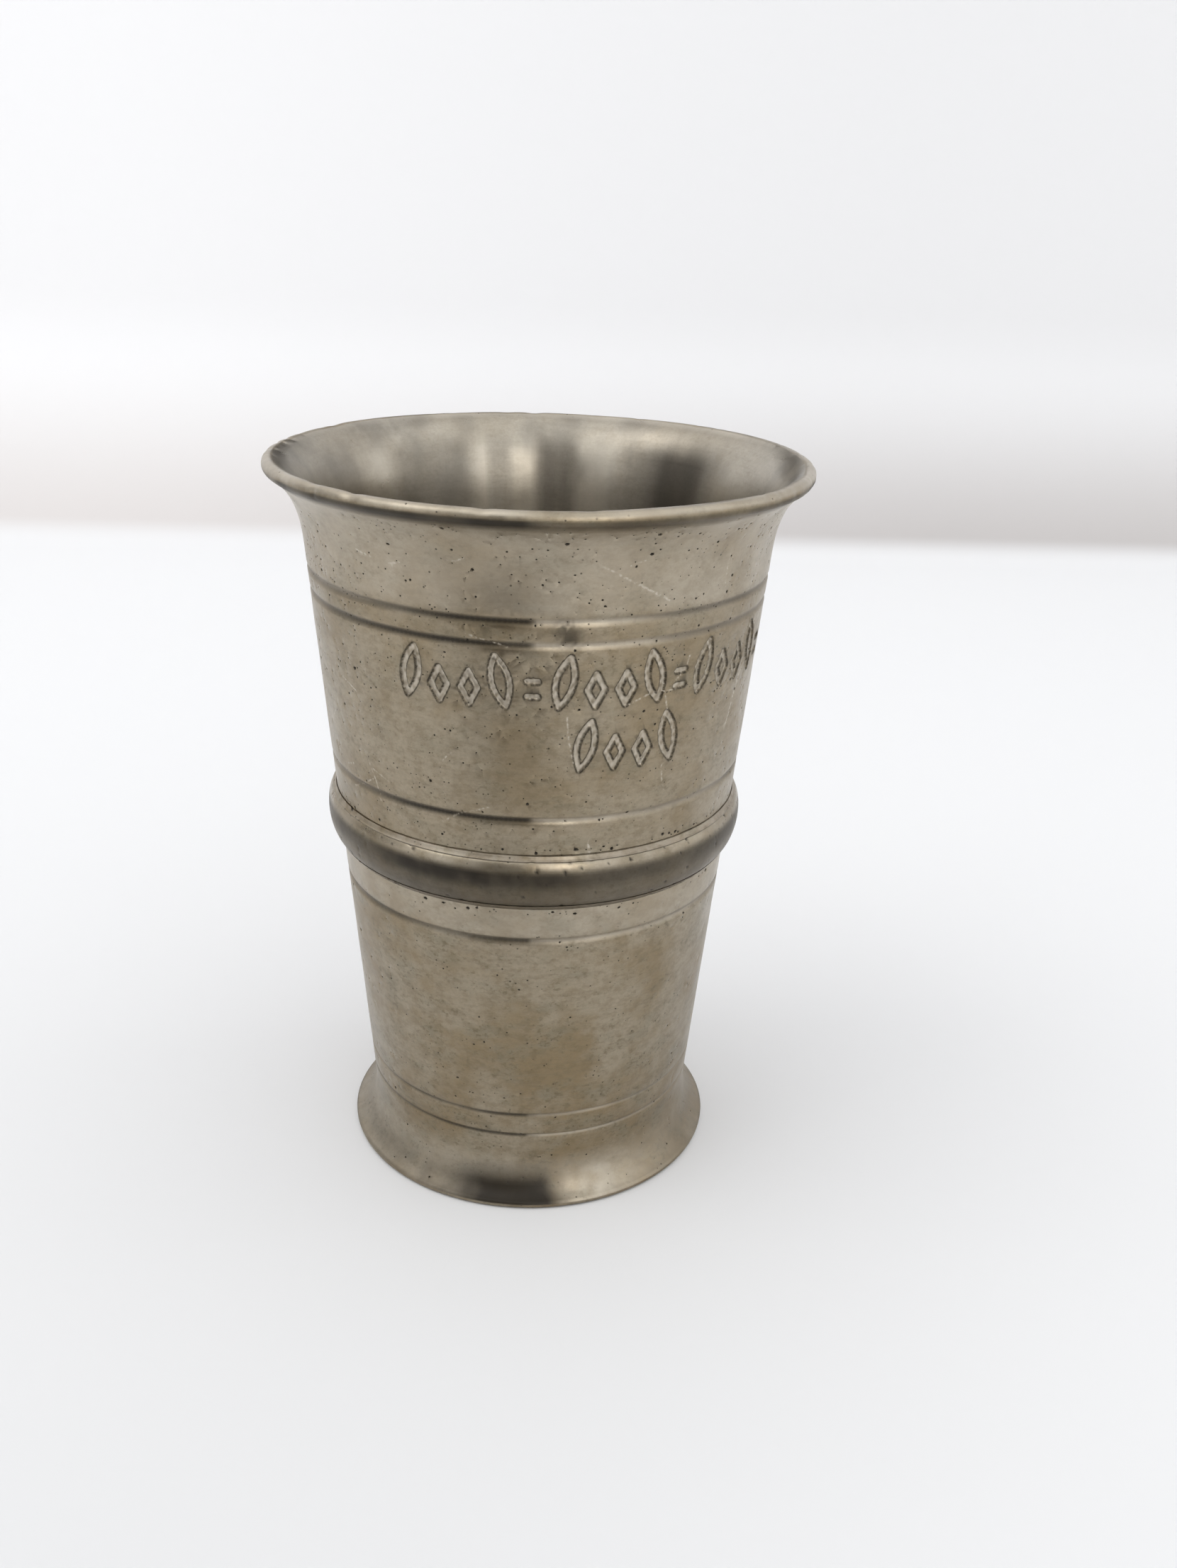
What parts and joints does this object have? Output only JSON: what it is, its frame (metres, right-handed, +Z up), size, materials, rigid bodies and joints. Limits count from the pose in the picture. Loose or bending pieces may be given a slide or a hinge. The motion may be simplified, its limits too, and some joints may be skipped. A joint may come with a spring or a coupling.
{
  "type": "shot cup",
  "caption": "Small tapered pewter cup for a measure of spirits, with a flared rolled lip, a half-round waist band, turned lines and a hollow flared foot.",
  "frame": {"origin": "centre of the foot, on the surface that the cup stands on", "axes": "+Z up the cup's axis; -Y faces the middle of the engraved rows' side that is seen first"},
  "size_m": [0.0428, 0.0428, 0.06],
  "materials": {
    "satin_pewter": "satin turned pewter, warm grey, handled and faintly stained",
    "bright_pewter": "turned pewter, a little brighter where it is rubbed",
    "solder": "soft solder, dull grey with pits"
  },
  "bodies": {
    "root": {"upper_barrel": "satin_pewter", "lower_barrel": "satin_pewter", "waist_band": "bright_pewter", "base_disc": "bright_pewter", "lap_solder": "solder", "upper_band_solder": "solder", "lower_band_solder": "solder", "base_solder": "solder"}
  },
  "joints": []
}
